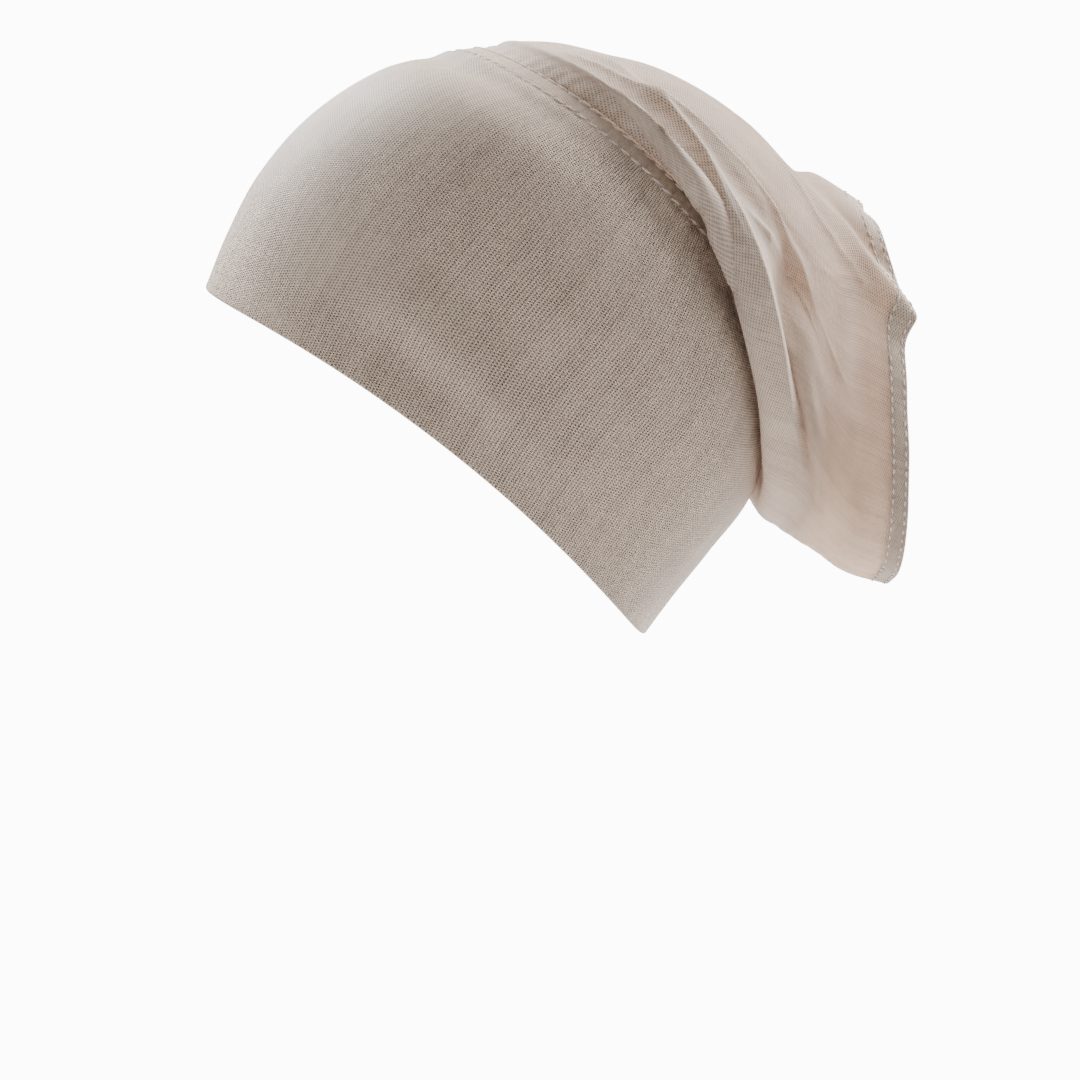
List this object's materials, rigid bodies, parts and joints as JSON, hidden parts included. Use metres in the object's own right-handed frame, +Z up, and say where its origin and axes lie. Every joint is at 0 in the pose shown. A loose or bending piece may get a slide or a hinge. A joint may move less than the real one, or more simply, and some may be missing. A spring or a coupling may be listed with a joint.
{
  "type": "underscarf cap",
  "caption": "Jersey underscarf cap in beige: doubled band stitched to a thin tube open at the back, kept in the form it has when worn",
  "frame": {"origin": "the inside of the band's crown, where the cap sits on a head", "axes": "+Z up; the wearer looks along -Y, so the tail's mouth faces +Y; +X is the wearer's left"},
  "size_m": [0.15, 0.2356, 0.2],
  "materials": {
    "band_jersey": "matte fine rib knit, two layers",
    "strip_jersey": "matte knit, flat seam between two rows of stitches",
    "tail_jersey": "matte thin knit, one layer, light shows through",
    "hem_jersey": "matte knit, turned in and stitched in two rows"
  },
  "bodies": {
    "root": {"front_band": "band_jersey", "seam_strip": "strip_jersey", "tail_tube": "tail_jersey", "tail_hem": "hem_jersey"}
  },
  "joints": []
}
